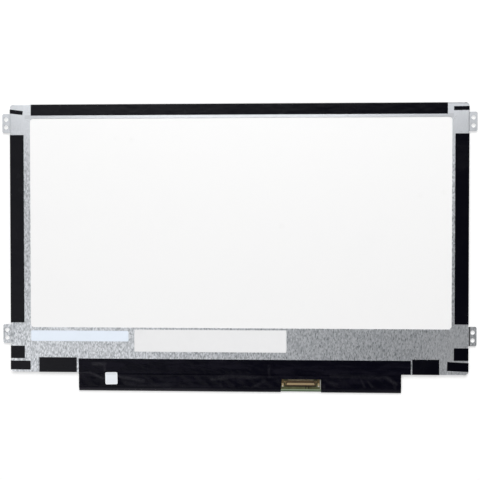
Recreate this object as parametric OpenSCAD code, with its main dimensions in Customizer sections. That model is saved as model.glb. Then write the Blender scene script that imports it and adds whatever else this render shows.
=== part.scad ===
// Slim 11.6 inch laptop screen panel, seen from behind.
// Origin: centre of the active area on the display's front face. +X right and +Y up as seen from
// behind, +Z out of the back. The panel lies on its display face. Millimetres.

/* [Panel body] */
// Width of the module without its ears
body_w = 268; // [267:0.5:270]
// Height of the module without the board that hangs below it
body_h = 157.5; // [157:0.5:159]
// Thickness from the display's face to the back of the metal frame
body_t = 2.85; // [2.75:0.05:3.2]
// Radius of the module's four corners
corner_r = 2.2; // [1.5:0.1:2.6]

/* [Active area] */
// Width of the picture
active_w = 256.125; // [255:0.125:256.125]
// Height of the picture
active_h = 144; // [143:0.5:144]
// Distance from the module's top edge to the picture
top_border = 4.9; // [4.8:0.1:5.2]

/* [Metal back frame] */
// Thickness of the steel sheet
sheet_t = 0.3; // [0.2:0.05:0.4]
// Steel left of the window, as seen from behind
window_left = 12; // [10:0.5:14]
// Steel right of the window, as seen from behind
window_right = 9.7; // [9:0.1:12]
// Steel above the window
window_top = 8.2; // [8:0.1:10]
// Steel below the window
window_bottom = 26.5; // [25:0.5:28]
// Radius of the window's corners
window_r = 2; // [1:0.5:4]

/* [Ears] */
// Length of an ear along the side
ear_len = 11.2; // [11:0.1:11.4]
// How far an ear stands out from the side
ear_reach = 4.75; // [4.4:0.05:5.5]
// Height of the ear's rear face above the display's front face
ear_face = 1.5; // [1.3:0.1:1.7]
// Diameter of the two screw holes in an ear
ear_hole_d = 2.5; // [2:0.1:2.6]
// Distance between those two holes
ear_hole_pitch = 4.6; // [4.4:0.1:5]
// Distance from the module's side to the hole centres
ear_hole_out = 2.5; // [2.3:0.1:2.7]
// Module's top edge to the middle of an upper ear
ear_upper_drop = 10.9; // [10.85:0.05:11.1]
// Module's bottom edge to the middle of a lower ear
ear_lower_rise = 22.4; // [22.3:0.05:22.6]

/* [Glass and films] */
// Thickness of each sheet of glass
glass_t = 0.4; // [0.3:0.05:0.4]
// Thickness of each polarizer
polarizer_t = 0.15; // [0.12:0.01:0.2]
// Thickness of each of the three optical sheets
optic_t = 0.15; // [0.1:0.01:0.15]
// Thickness of the white reflector
reflector_t = 0.2; // [0.15:0.05:0.25]

/* [Backlight] */
// Number of light-emitting diodes along the bottom edge
led_count = 27; // [18:1:33]
// Middle of the flexible tail that feeds them
tail_x = -60; // [-64:1:-56]

/* [Control board] */
// Left end of the board
board_left = -92.8; // [-94:0.2:-92]
// Right end of the board
board_right = 95.1; // [94:0.1:95.4]
// Height of the board
board_h = 10.15; // [9.6:0.05:10.2]
// Thickness of the board
board_t = 0.7; // [0.6:0.1:0.8]
// Middle of the display connector
connector_x = 37.2; // [35:0.1:40]
// Contacts in the display connector
contact_count = 30; // [20:2:30]

/* [Cover film, tapes and labels] */
// Thickness of the black film over the board
film_t = 0.1; // [0.06:0.02:0.12]
// Thickness of the black edge tapes
tape_t = 0.07; // [0.05:0.01:0.1]
// Thickness of the paper labels
label_t = 0.08; // [0.06:0.01:0.12]

/* [Hidden] */

// Module outline
side = body_w / 2;
top = active_h / 2 + top_border;
bottom = top - body_h;

// Levels of the stack, from the display's face to the back
glass_front = polarizer_t;
cell_split = glass_front + glass_t;
glass_back = cell_split + glass_t;
cell_back = glass_back + polarizer_t;
rim_tape_t = 0.1;
ledge = cell_back + rim_tape_t;
guide_front = ledge + 3 * optic_t;
plate_front = body_t - sheet_t;
guide_back = plate_front - reflector_t;

// Plan sizes of the cell and the optical stack
front_polarizer_half = active_w / 2 + 1.74;
rear_polarizer_half = front_polarizer_half - 0.2;
polarizer_margin = 1.6;
glass_half = side - 2.1;
glass_top = top - 2.3;
cell_ledge = bottom + 1.6;
filter_bottom = bottom + 6.2;
stack_half = active_w / 2 + 1.74;
stack_top = active_h / 2 + 1.7;
sheet_bottom = bottom + 6.3;
guide_bottom = bottom + 5.75;
tab_reach = 1.3;
tab_len = 6;
side_tabs = [-42, 42];
top_tabs = [-80, 0, 80];

// Metal frame: folds, reliefs beside the ears, and clip windows
fold_in = 0.15;
fold_out = fold_in + sheet_t;
flange_end = 0.75;
relief = 0.25;
ear_r = 1;
upper_ear = top - ear_upper_drop;
lower_ear = bottom + ear_lower_rise;
corner_stop = corner_r;
film_left = -93.45;
film_right = 95.5;
film_step_right = 101;
side_flanges = [
    [bottom + corner_stop, lower_ear - ear_len / 2 - 2 * relief],
    [lower_ear + ear_len / 2 + 2 * relief, upper_ear - ear_len / 2 - 2 * relief],
    [upper_ear + ear_len / 2 + relief, top - corner_stop]
];
top_flanges = [[-side + corner_stop + 1, side - corner_stop - 1]];
bottom_flanges = [
    [-side + corner_stop + 1, film_left - 0.9],
    [film_step_right + 0.5, side - corner_stop - 1]
];
side_clips = [-38, -12, 14, 40];
top_clips = [-105, -63, -21, 21, 63, 105];
clip_len = 6;
clip_low = 1.45;
clip_high = 2.15;

// Moulded frame
foot_top = 0.7;
wall_inset = sheet_t + 0.05;
bend_room = 0.12;
glass_gap = 0.3;
stack_gap = 0.2;
led_wall = bottom + 4.7;
flex_slot = bottom + 1.6;

// Diodes and their flexible strip
led_w = 3.8;
led_d = 0.9;
led_h = 0.7;
led_gap = 0.1;
flex_t = 0.13;
flex_front = plate_front - flex_t;
tail_w = 6;

// Board under the body's bottom edge
board_front = cell_split;
board_back = board_front + board_t;
board_top_edge = bottom - 0.35;
board_bottom_edge = board_top_edge - board_h;
cable_t = 0.07;
cable_xs = [-58, 0, 58];
cable_w = 34;

// Cover film: it runs down the back, round the board's lower edge and up to the glass
film_top = bottom + 8.15;
film_crest = board_back + 1.25;
film_bottom = board_bottom_edge - 0.4;
notch_left = 26.2;
notch_right = 49.1;
notch_flare = 0.7;
notch_top = bottom - 3.15;
film_path = rounded_path(
    [
        [film_top, body_t], [bottom - 0.1, body_t], [bottom - 1.3, film_crest],
        [board_bottom_edge + 2.2, film_crest], [film_bottom, board_back + 0.1],
        [film_bottom, board_front - cable_t], [bottom + 2.6, board_front - cable_t],
        [bottom + 3.4, glass_front], [filter_bottom + 0.6, glass_front]
    ],
    [0, 0.5, 0.5, 1.5, 0.6, 0.2, 0.4, 0.4, 0]
);

// Sizes of the display connector, from the middle of its mouth on the board's rear face
contact_pitch = 0.5;
contact_w = 0.2;
contact_t = 0.12;
connector_mouth = bottom - 7.1;
housing_half = contact_count * contact_pitch / 2 + 2.15;
housing_d = 3;
housing_h = 1;
housing_bevel = 0.65;
shell_t = 0.12;
shell_slit = 0.25;
lug_w = 1.1;
lug_out = housing_half + 1.4;

// Backlight connector
backlight_connector_y = board_bottom_edge + 5.2;
lever_level = 0.6;
lever_t = 0.35;

// Geometry helpers
function unit(v) = v / norm(v);
function left_of(v) = [-v[1], v[0]];
function reversed(list) = [for (i = [len(list) - 1:-1:0]) list[i]];
function arc(centre, r, from, to, steps = 6) =
    [for (i = [0:steps]) let (a = from + (to - from) * i / steps) centre + r * [cos(a), sin(a)]];

// Points of the round corner at b, on the way from a to c
function corner_points(a, b, c, r) =
    r == 0 ? [b] :
    let (
        u = unit(a - b),
        v = unit(c - b),
        half = acos(u * v) / 2,
        centre = b + unit(u + v) * r / sin(half),
        start = b + u * r / tan(half) - centre,
        end = b + v * r / tan(half) - centre,
        from = atan2(start[1], start[0]),
        turn = (atan2(end[1], end[0]) - from + 540) % 360 - 180
    )
    arc(centre, r, from, from + turn);

// A line through points, with its corners rounded to the radii given
function rounded_path(p, radii) = [
    p[0],
    for (i = [1:len(p) - 2]) each corner_points(p[i - 1], p[i], p[i + 1], radii[i]),
    p[len(p) - 1]
];

// The same line moved to its left by d
function moved_path(p, d) = [
    for (i = [0:len(p) - 1])
        let (
            before = left_of(unit(p[max(i, 1)] - p[max(i, 1) - 1])),
            after = left_of(unit(p[min(i, len(p) - 2) + 1] - p[min(i, len(p) - 2)]))
        )
        p[i] + d * (before + after) / (1 + before * after)
];

// Section of a bent sheet that lies between d0 and d1 to the left of a line
function sheet_section(p, d0, d1) = concat(moved_path(p, d0), reversed(moved_path(p, d1)));

function box_outline(x0, x1, y0, y1, r) = concat(
    arc([x1 - r, y1 - r], r, 0, 90), arc([x0 + r, y1 - r], r, 90, 180),
    arc([x0 + r, y0 + r], r, 180, 270), arc([x1 - r, y0 + r], r, 270, 360)
);

module block(x0, x1, y0, y1, z0, z1) {
    translate([x0, y0, z0]) cube([x1 - x0, y1 - y0, z1 - z0]);
}

module layer(z0, z1) {
    translate([0, 0, z0]) linear_extrude(z1 - z0) children();
}

// Carries a section, drawn as [distance outwards, height], along one side of the module
module along_side(where, from, to) {
    if (where == "right")
        translate([side, to, 0]) rotate([90, 0, 0]) linear_extrude(to - from) children();
    if (where == "left")
        mirror([1, 0, 0]) along_side("right", from, to) children();
    if (where == "top")
        translate([from, top, 0]) rotate([90, 0, 90]) linear_extrude(to - from) children();
    if (where == "bottom")
        mirror([0, 1, 0]) translate([from, -bottom, 0]) rotate([90, 0, 90])
            linear_extrude(to - from) children();
}

// Carries a section, drawn as [y, z], across the module
module along_x(from, to) {
    translate([from, 0, 0]) rotate([90, 0, 90]) linear_extrude(to - from) children();
}

// Liquid crystal cell
module front_polarizer() {
    margin = active_h / 2 + polarizer_margin;
    color("#15171c")
    block(-front_polarizer_half, front_polarizer_half, -margin, margin, 0, polarizer_t);
}

module color_filter_glass() {
    color("#2b2f33") block(-glass_half, glass_half, filter_bottom, glass_top, glass_front, cell_split);
}

module transistor_glass() {
    color("#3a4044") block(-glass_half, glass_half, cell_ledge, glass_top, cell_split, glass_back);
}

module rear_polarizer() {
    margin = active_h / 2 + polarizer_margin - 0.2;
    color("#2a2c30")
    block(-rear_polarizer_half, rear_polarizer_half, -margin, margin, glass_back, cell_back);
}

// Bare driver chips, bonded face down to the front of the glass ledge
module driver_chips() {
    chip_w = 26;
    chip_d = 1.1;
    chip_t = 0.3;
    low = cell_ledge + 2.1;
    color("#9a9fa6")
    for (x = cable_xs)
        block(x - chip_w / 2, x + chip_w / 2, low, low + chip_d, cell_split - chip_t, cell_split);
}

// Flexible cables from the glass ledge to the front of the board
module panel_flex_cables() {
    glass_end = cell_ledge + 1.4;
    shoulder = cell_ledge - 0.4;
    board_end = board_top_edge - 2.2;
    half = cable_w / 2;
    neck = half - 3;
    color("#b8742a")
    layer(cell_split - cable_t, cell_split)
    for (x = cable_xs)
        polygon([
            [x - half, glass_end], [x + half, glass_end], [x + half, shoulder],
            [x + neck, board_top_edge], [x + neck, board_end], [x - neck, board_end],
            [x - neck, board_top_edge], [x - half, shoulder]
        ]);
}

// Double-sided tape that closes the cell to the frame and the top sheet
module rim_tape() {
    half_w = active_w / 2 + 0.55;
    half_h = active_h / 2 + 0.55;
    rim = glass_half - 0.4;
    color("#1c1c1f")
    difference() {
        block(-rim, rim, cell_ledge + 1, glass_top - 0.2, cell_back, ledge);
        block(-half_w, half_w, -half_h, half_h, cell_back - 1, ledge + 1);
    }
}

// Backlight
// Outline of a sheet in the stack, with the tabs that hang it in the frame
module stack_outline(low_edge, grow = 0) {
    translate([-stack_half - grow, low_edge - grow])
        square([2 * (stack_half + grow), stack_top - low_edge + 2 * grow]);
    for (y = side_tabs)
        translate([-stack_half - tab_reach - grow, y - tab_len / 2 - grow])
            square([2 * (stack_half + tab_reach + grow), tab_len + 2 * grow]);
    for (x = top_tabs)
        translate([x - tab_len / 2 - grow, 0])
            square([tab_len + 2 * grow, stack_top + tab_reach + grow]);
}

module upper_prism_sheet() {
    color("#dfe7ea") layer(ledge, ledge + optic_t) stack_outline(sheet_bottom);
}

module lower_prism_sheet() {
    color("#d5dfe3") layer(ledge + optic_t, ledge + 2 * optic_t) stack_outline(sheet_bottom);
}

module diffuser_sheet() {
    color("#f1f3f2") layer(ledge + 2 * optic_t, guide_front) stack_outline(sheet_bottom);
}

module light_guide_plate() {
    color("#cfe3ea") layer(guide_front, guide_back) stack_outline(guide_bottom);
}

module reflector_sheet() {
    color("#f4f4f4") layer(guide_back, plate_front) stack_outline(guide_bottom);
}

// One diode lies on its side: its window faces the edge of the light guide
module backlight_led(x) {
    back = guide_bottom - led_gap - led_d;
    window = back + led_d - 0.25;
    front = flex_front - led_h;
    half = led_w / 2;
    cheek = 0.4;
    lip = 0.15;
    difference() {
        block(x - half, x + half, back, back + led_d, front, flex_front);
        block(x - half + cheek, x + half - cheek, window, window + 1, front + lip, flex_front - lip);
    }
}

module backlight_leds() {
    pitch = active_w / led_count;
    color("#f2eeda")
    for (i = [0:led_count - 1])
        backlight_led((i - (led_count - 1) / 2) * pitch);
}

// Flexible strip behind the diodes, with a tail that dips to its connector on the board
module backlight_flex() {
    strip_half = stack_half - 1;
    strip_low = bottom + 1.8;
    tail_end = backlight_connector_y - 1.6;
    tail_level = board_back + 0.45;
    path = rounded_path(
        [[strip_low + 0.5, flex_front], [bottom - 0.2, flex_front],
            [bottom - 2.4, tail_level], [tail_end, tail_level]],
        [0, 0.5, 0.5, 0]
    );
    color("#c98a3a") {
        block(-strip_half, strip_half, strip_low, guide_bottom - led_gap, flex_front, plate_front);
        along_x(tail_x - tail_w / 2, tail_x + tail_w / 2) polygon(sheet_section(path, 0, -flex_t));
    }
}

// Moulded frame: a foot round the glass, walls round the light guide, and clips for the metal
module frame_clips(gap, depth_in, depth_out) {
    for (where = ["left", "right"], y = side_clips)
        along_side(where, y - clip_len / 2 + gap, y + clip_len / 2 - gap)
            translate([-depth_in, clip_low + gap / 4])
                square([depth_in + depth_out, clip_high - clip_low - gap / 2]);
    for (x = top_clips)
        along_side("top", x - clip_len / 2 + gap, x + clip_len / 2 - gap)
            translate([-depth_in, clip_low + gap / 4])
                square([depth_in + depth_out, clip_high - clip_low - gap / 2]);
}

module wall_outline(inset) {
    polygon(box_outline(-side + inset, side - inset, bottom + inset, top - inset, corner_r - inset));
}

// The walls step in at the back, to clear the metal's inner bends
module mould_frame() {
    clip_root = wall_inset + 0.5;
    clip_shy = 0.08;
    clip_gap = 0.2;
    tail_slot = tail_w / 2 + 0.3;
    tail_slot_t = 0.25;
    film_slot = 0.4;
    color("#eeeeea")
    difference() {
        union() {
            layer(glass_front, foot_top) polygon(box_outline(-side, side, bottom, top, corner_r));
            layer(foot_top - 0.1, plate_front - fold_in) wall_outline(wall_inset);
            layer(foot_top, plate_front) wall_outline(wall_inset + bend_room);
            frame_clips(clip_gap, clip_root, -clip_shy);
        }
        block(-glass_half - glass_gap, glass_half + glass_gap, cell_ledge - glass_gap,
            glass_top + glass_gap, -1, ledge);
        layer(ledge - 0.1, body_t) stack_outline(led_wall + stack_gap, stack_gap);
        block(-stack_half, stack_half, flex_slot, led_wall + 1, flex_front - 0.02, body_t);
        block(tail_x - tail_slot, tail_x + tail_slot, bottom - 1, led_wall,
            flex_front - tail_slot_t, body_t);
        block(film_left - film_slot, film_right + film_slot, bottom - 1, cell_ledge, -1, foot_top);
    }
}

// Metal back frame
function flange_path() = rounded_path(
    [[-1.2, body_t], [0, body_t], [0, flange_end]], [0, fold_out, 0]);

function ear_path() = rounded_path(
    [[-1.2, body_t], [0, body_t], [0, ear_face], [ear_reach, ear_face]],
    [0, fold_out, fold_in, 0]);

module flange(where, span) {
    along_side(where, span[0], span[1]) polygon(sheet_section(flange_path(), 0, -sheet_t));
}

// Strip of the plate's edge that a fold takes up
module fold_strip(where, span) {
    along_side(where, span[0] - relief, span[1] + relief)
        translate([-fold_out, plate_front - 1]) square([fold_out + 1, sheet_t + 2]);
}

module ear(where, middle) {
    span = [middle - ear_len / 2, middle + ear_len / 2];
    root = 2;
    out = where == "right" ? 1 : -1;
    inner = out * (side - root);
    outer = out * (side + ear_reach);
    difference() {
        intersection() {
            along_side(where, span[0], span[1]) polygon(sheet_section(ear_path(), 0, -sheet_t));
            layer(0, body_t + 1)
                polygon(box_outline(min(inner, outer), max(inner, outer), span[0], span[1], ear_r));
        }
        for (s = [-1, 1])
            translate([out * (side + ear_hole_out), middle + s * ear_hole_pitch / 2, 0])
                cylinder(d = ear_hole_d, h = body_t, $fn = 48);
    }
}

module back_frame() {
    ear_spans = [for (m = [lower_ear, upper_ear]) [m - ear_len / 2, m + ear_len / 2]];
    color("#b4b7ba") {
        difference() {
            union() {
                difference() {
                    layer(plate_front, body_t)
                        polygon(box_outline(-side, side, bottom, top, corner_r));
                    for (where = ["left", "right"], span = concat(side_flanges, ear_spans))
                        fold_strip(where, span);
                    for (span = top_flanges) fold_strip("top", span);
                    for (span = bottom_flanges) fold_strip("bottom", span);
                }
                for (where = ["left", "right"], span = side_flanges) flange(where, span);
                for (span = top_flanges) flange("top", span);
                for (span = bottom_flanges) flange("bottom", span);
                for (where = ["left", "right"], middle = [lower_ear, upper_ear]) ear(where, middle);
            }
            layer(plate_front - 1, body_t + 1)
                polygon(box_outline(-side + window_left, side - window_right,
                    bottom + window_bottom, top - window_top, window_r));
            frame_clips(0, sheet_t + 0.02, 1);
        }
    }
}

// Control board and its parts
module control_board() {
    nick = 1.2;
    jig_notch = 0.8;
    jig_in = 14;
    color("#2f5d3a")
    difference() {
        layer(board_front, board_back)
            polygon([
                [board_left, board_bottom_edge + nick], [board_left + nick, board_bottom_edge],
                [board_right - nick, board_bottom_edge], [board_right, board_bottom_edge + nick],
                [board_right, board_top_edge], [board_left, board_top_edge]
            ]);
        for (x = [board_left + jig_in, board_right - jig_in])
            block(x - jig_notch, x + jig_notch, board_bottom_edge - 1, board_bottom_edge + jig_notch,
                board_front - 1, board_back + 1);
    }
}

// A part on the board's rear face, by its middle and size
module board_part(middle, size) {
    translate([middle[0] - size[0] / 2, middle[1] - size[1] / 2, board_back]) cube(size);
}

// A row of equal parts along the board, from the middle of the first
module part_row(count, first, pitch, size) {
    for (i = [0:count - 1]) board_part([first[0] + i * pitch, first[1]], size);
}

// Flat chip with a row of feet on each of its four sides
module flat_chip(middle, body, height, feet) {
    foot = [0.24, 0.35, 0.2];
    foot_root = 0.1;
    pitch = (body - 1) / feet;
    board_part(middle, [body, body, height]);
    for (turn = [0:3], i = [0:feet - 1])
        translate([middle[0], middle[1], board_back])
            rotate(90 * turn)
                translate([(i - (feet - 1) / 2) * pitch - foot[0] / 2, body / 2 - foot_root, 0])
                    cube(foot);
}

board_mid = (board_top_edge + board_bottom_edge) / 2;

module timing_controller() {
    color("#202224") flat_chip([-5, board_mid], body = 7, height = 0.85, feet = 10);
}

module power_chip() {
    color("#242628") flat_chip([-28, board_mid + 0.5], body = 4, height = 0.75, feet = 6);
}

module backlight_driver() {
    color("#242628") flat_chip([-75, board_mid + 0.5], body = 4, height = 0.75, feet = 6);
}

module memory_chip() {
    middle = [8, board_mid + 1];
    foot = [0.25, 0.5, 0.15];
    foot_pitch = 0.65;
    foot_out = 1.15;
    color("#26282a") {
        board_part(middle, [3, 2, 0.6]);
        for (s = [-1, 1])
            part_row(4, middle + [-1.5 * foot_pitch, s * foot_out], foot_pitch, foot);
    }
}

// Each inductor is a drum between two square cheeks
module power_inductors() {
    xs = [-38, -84];
    cheeks = [4, 3.4];
    cheek_t = 0.3;
    height = 1.15;
    drum = 0.72;
    color("#4a4b4d")
    for (i = [0:len(xs) - 1]) {
        board_part([xs[i], board_mid], [cheeks[i], cheeks[i], cheek_t]);
        translate([xs[i], board_mid, board_back])
            cylinder(d = cheeks[i] * drum, h = height - 0.05, $fn = 32);
        translate([0, 0, height - cheek_t])
            board_part([xs[i], board_mid], [cheeks[i], cheeks[i], cheek_t]);
    }
}

module board_capacitors() {
    color("#a98a63") {
        part_row(5, [-48, board_mid - 2.2], pitch = 1.6, size = [1, 1.8, 0.8]);
        part_row(6, [-22.6, board_mid + 3.4], pitch = 1.5, size = [0.8, 1.5, 0.7]);
        part_row(7, [12.5, board_mid - 2.8], pitch = 1.4, size = [0.6, 1.1, 0.5]);
        part_row(4, [57, board_mid + 2], pitch = 2.2, size = [1.2, 2, 0.9]);
    }
}

module board_resistors() {
    color("#1d1d1f") {
        part_row(6, [-21.6, board_mid - 3.6], pitch = 1.3, size = [0.55, 1.05, 0.35]);
        part_row(8, [12.5, board_mid + 3.2], pitch = 1.2, size = [0.55, 1.05, 0.35]);
        part_row(5, [70, board_mid - 1], pitch = 3.2, size = [1.05, 0.55, 0.35]);
    }
}

// Display connector: a moulded tray, a row of contacts and a folded shell
module connector_frame() {
    translate([connector_x, connector_mouth, board_back]) children();
}

// One contact: a tail on the board, a riser and a beam along the tray's floor
module connector_contact(x) {
    half_t = contact_t / 2;
    beam = 0.36;
    line = [
        [0.35, beam], [housing_d - 0.5, beam], [housing_d - 0.15, half_t], [housing_d + 0.85, half_t]
    ];
    along_x(x - contact_w / 2, x + contact_w / 2) polygon(sheet_section(line, half_t, -half_t));
}

module contact_row() {
    for (i = [0:contact_count - 1])
        connector_contact((i - (contact_count - 1) / 2) * contact_pitch);
}

module display_connector_contacts() {
    color("#c9a45c") connector_frame() contact_row();
}

// The tray narrows to its mouth, with the plug's slot between floor and roof
module display_connector_housing() {
    slot = housing_half - 1.6;
    slot_end = housing_d - 0.7;
    slot_wall = 0.3;
    color("#2a2019")
    connector_frame()
    difference() {
        linear_extrude(housing_h)
            polygon([
                [-housing_half, housing_d], [housing_half, housing_d],
                [housing_half - housing_bevel, 0], [housing_bevel - housing_half, 0]
            ]);
        block(-slot, slot, -1, slot_end, slot_wall, housing_h - slot_wall);
        contact_row();
    }
}

// Roof of the folded shell: a band over the mouth, with a slit before each flared end cap
module shell_roof() {
    front = 0.6;
    band_back = 1.75;
    slit_x = housing_half - 1.2;
    slit_lean = 0.75;
    difference() {
        polygon([
            [housing_bevel + 0.1 - housing_half, front], [housing_half - housing_bevel - 0.1, front],
            [housing_half - 0.15, housing_d - 0.1], [0.15 - housing_half, housing_d - 0.1]
        ]);
        translate([-slit_x + slit_lean, band_back]) square([2 * (slit_x - slit_lean), housing_d]);
        for (s = [0, 1])
            mirror([s, 0])
                polygon([
                    [slit_x, front + 0.35], [slit_x + shell_slit, front + 0.35],
                    [slit_x + shell_slit - slit_lean, housing_d + 0.1],
                    [slit_x - slit_lean - 1, housing_d + 0.1], [slit_x - slit_lean, band_back]
                ]);
    }
}

// The ends of the shell fold down beside the tray and out into long solder lugs
module display_connector_shell() {
    reach = housing_half + 0.15 + shell_t;
    end_w = 1.1;
    lug_low = -0.7;
    lug_high = 4.6;
    end_path = rounded_path(
        [[housing_half - 0.4, housing_h + shell_t], [reach, housing_h + shell_t],
            [reach, shell_t], [lug_out, shell_t]],
        [0, 0.25, 0.15, 0]
    );
    color("#b9a98c")
    connector_frame() {
        translate([0, 0, housing_h]) linear_extrude(shell_t) shell_roof();
        for (s = [0, 1])
            mirror([s, 0, 0]) {
                translate([0, housing_d - 0.1, 0]) rotate([90, 0, 0])
                    linear_extrude(end_w) polygon(sheet_section(end_path, 0, -shell_t));
                block(lug_out - lug_w, lug_out, lug_low, lug_high, 0, shell_t);
            }
    }
}

// Backlight connector: the tail goes into its slot, and the lever presses on it
module backlight_connector_housing() {
    half = tail_w / 2 + 1.2;
    slot = tail_w / 2 + 0.05;
    slot_floor = 0.25;
    slot_roof = 0.65;
    lever_room = tail_w / 2 + 0.3;
    color("#e6e2d6")
    translate([tail_x, backlight_connector_y, board_back])
    difference() {
        block(-half, half, -3, 0.8, 0, 0.85);
        block(-slot, slot, -1.8, 1, slot_floor, slot_roof);
        block(-lever_room, lever_room, -0.9, 1, lever_level, lever_level + 1);
    }
}

module backlight_connector_lever() {
    half = tail_w / 2 + 0.2;
    color("#2b2b2d")
    translate([tail_x, backlight_connector_y, board_back])
        block(-half, half, -0.8, 0.7, lever_level, lever_level + lever_t);
}

// Cut in the film round the display connector. Its left edge leans out towards the board's lower edge
module notch(from, high_edge) {
    low_edge = film_bottom - 1;
    flare = notch_flare * (notch_top - low_edge) / (notch_top - film_bottom);
    intersection() {
        layer(from, body_t + 1)
            polygon([
                [notch_left - flare, low_edge], [notch_right, low_edge],
                [notch_right, notch_top], [notch_left, notch_top]
            ]);
        block(film_left, film_right, low_edge - 1, high_edge, from - 1, body_t + 2);
    }
}

// Black film over the board, notched round the display connector
module board_cover_film() {
    color("#17161b")
    difference() {
        along_x(film_left, film_step_right) polygon(sheet_section(film_path, 0, -film_t));
        block(film_right, film_step_right + 1, film_bottom - 1, bottom, -1, body_t + 1);
        block(film_right, film_step_right + 1, film_bottom - 1, filter_bottom + 2, -1, board_back);
        notch(board_front, notch_top);
        notch(-1, board_bottom_edge);
    }
}

// Edge tapes: each laps on the metal, goes down the side and laps on the rim of the front
function tape_path(rear_lap, front_lap, bend) = rounded_path(
    [[-rear_lap, body_t], [0, body_t], [0, glass_front], [-front_lap, glass_front]],
    [0, bend, 0, 0]);

module straight_tape(where, span, rear_lap, front_lap, bend = fold_out) {
    color("#1b1b20")
    along_side(where, span[0], span[1])
        polygon(sheet_section(tape_path(rear_lap, front_lap, bend), 0, tape_t));
}

// A tape stuck on a little askew: its rear lap rises by the slant as it goes inwards
module slanted_tape(where, middle, width, rear_lap, front_lap, slant, bend = fold_out) {
    reach = rear_lap - fold_out;
    end = [-rear_lap, middle + reach * tan(slant)];
    across = width / 2 * [sin(slant), cos(slant)];
    half = width / 2 / cos(slant);
    out = where == "right" ? 0 : 1;
    color("#1b1b20") {
        straight_tape(where, [middle - half, middle + half], fold_out + 0.2, front_lap, bend);
        mirror([out, 0, 0]) translate([side, 0, 0])
            layer(body_t, body_t + tape_t)
                polygon([
                    end + across, end - across, [-fold_out, middle - half], [-fold_out, middle + half]
                ]);
    }
}

side_front_lap = 3.5;
rim_front_lap = 1.3;
low_front_lap = 1.2;

module top_edge_tape() {
    straight_tape("top", [-121.45, 121.65], rear_lap = 6.5, front_lap = 2.9);
}

module left_edge_tape() {
    straight_tape("left", [top - 128.3, top - 17.8], rear_lap = 8.25, front_lap = side_front_lap);
}

module right_edge_tape() {
    straight_tape("right", [top - 128.1, top - 17.85], rear_lap = 8.05, front_lap = side_front_lap);
}

module upper_left_tape() {
    slanted_tape("left", top - 4, width = 2.35, rear_lap = 7.75, front_lap = side_front_lap, slant = -7.2);
}

module upper_right_tape() {
    slanted_tape("right", top - 3.3, width = 2.3, rear_lap = 8.9, front_lap = side_front_lap, slant = -1);
}

module lower_left_tape() {
    straight_tape("left", [bottom + 8.05, bottom + 15.4], rear_lap = 8.45, front_lap = side_front_lap);
}

module lower_right_tape() {
    straight_tape("right", [bottom + 8.35, bottom + 15.65], rear_lap = 8.4, front_lap = side_front_lap);
}

module left_corner_tape() {
    straight_tape("left", [bottom + 1.3, bottom + 6.6], rear_lap = 11.8,
        front_lap = rim_front_lap, bend = 0);
}

module right_corner_tape() {
    slanted_tape("right", bottom + 4.5, width = 5.2, rear_lap = 12.2, front_lap = rim_front_lap,
        slant = 2.8, bend = 0);
}

module bottom_left_tape() {
    straight_tape("bottom", [-117, -94.6], rear_lap = 8.75, front_lap = low_front_lap);
}

module bottom_right_tape() {
    straight_tape("bottom", [101.8, 117.3], rear_lap = 8.9, front_lap = low_front_lap);
}

// Blank paper labels
module long_label() {
    color("#e6eefa") layer(body_t, body_t + label_t)
        polygon(box_outline(-121.8, -63.8, bottom + 18.3, bottom + 24.6, 0.9));
}

module main_label() {
    color("#ececed") layer(body_t, body_t + label_t)
        polygon(box_outline(-60.4, 28.95, bottom + 12.35, bottom + 25.4, 0.3));
}

// The square label follows the film that it is stuck on
module square_label() {
    size = 7.2;
    color("#e8ecf2")
    intersection() {
        along_x(-80, -68) polygon(sheet_section(film_path, -film_t, -film_t - label_t));
        translate([-74.1, bottom - 3.45, film_crest])
            rotate(1.2) linear_extrude(2)
                polygon(box_outline(-size / 2, size / 2, -size / 2, size / 2, 0.8));
    }
}

front_polarizer();
color_filter_glass();
transistor_glass();
rear_polarizer();
driver_chips();
panel_flex_cables();
rim_tape();
upper_prism_sheet();
lower_prism_sheet();
diffuser_sheet();
light_guide_plate();
reflector_sheet();
backlight_leds();
backlight_flex();
mould_frame();
back_frame();
control_board();
timing_controller();
power_chip();
backlight_driver();
memory_chip();
power_inductors();
board_capacitors();
board_resistors();
display_connector_housing();
display_connector_shell();
display_connector_contacts();
backlight_connector_housing();
backlight_connector_lever();
board_cover_film();
top_edge_tape();
left_edge_tape();
right_edge_tape();
upper_left_tape();
upper_right_tape();
lower_left_tape();
lower_right_tape();
left_corner_tape();
right_corner_tape();
bottom_left_tape();
bottom_right_tape();
long_label();
main_label();
square_label();
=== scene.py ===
import math
import random

import bpy
from mathutils import Matrix, Vector


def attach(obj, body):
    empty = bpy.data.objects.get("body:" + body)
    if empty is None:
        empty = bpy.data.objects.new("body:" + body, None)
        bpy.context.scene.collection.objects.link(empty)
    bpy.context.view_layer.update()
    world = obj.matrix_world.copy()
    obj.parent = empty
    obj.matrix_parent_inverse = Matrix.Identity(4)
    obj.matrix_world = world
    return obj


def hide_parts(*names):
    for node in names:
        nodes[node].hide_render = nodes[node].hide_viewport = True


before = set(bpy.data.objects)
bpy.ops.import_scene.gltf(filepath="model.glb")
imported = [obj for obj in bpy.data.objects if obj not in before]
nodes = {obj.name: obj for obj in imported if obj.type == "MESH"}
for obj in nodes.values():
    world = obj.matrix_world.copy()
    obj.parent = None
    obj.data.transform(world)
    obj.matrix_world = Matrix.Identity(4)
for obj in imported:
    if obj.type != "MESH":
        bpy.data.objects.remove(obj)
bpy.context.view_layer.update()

MM = 0.001
MICRON = 0.000001

# Places in millimetres, from the part's own frame
SIDE = 134.0
TOP = 76.9
BOTTOM = -80.6
BACK = 2.85
BOARD_BACK = 1.25
CONNECTOR_X = 37.2
CONNECTOR_MOUTH = BOTTOM - 7.1
ACTIVE_AREA = (-128.06, 128.06, -72, 72)
PIXEL_PITCH = 0.1875


# Wiring of materials

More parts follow.
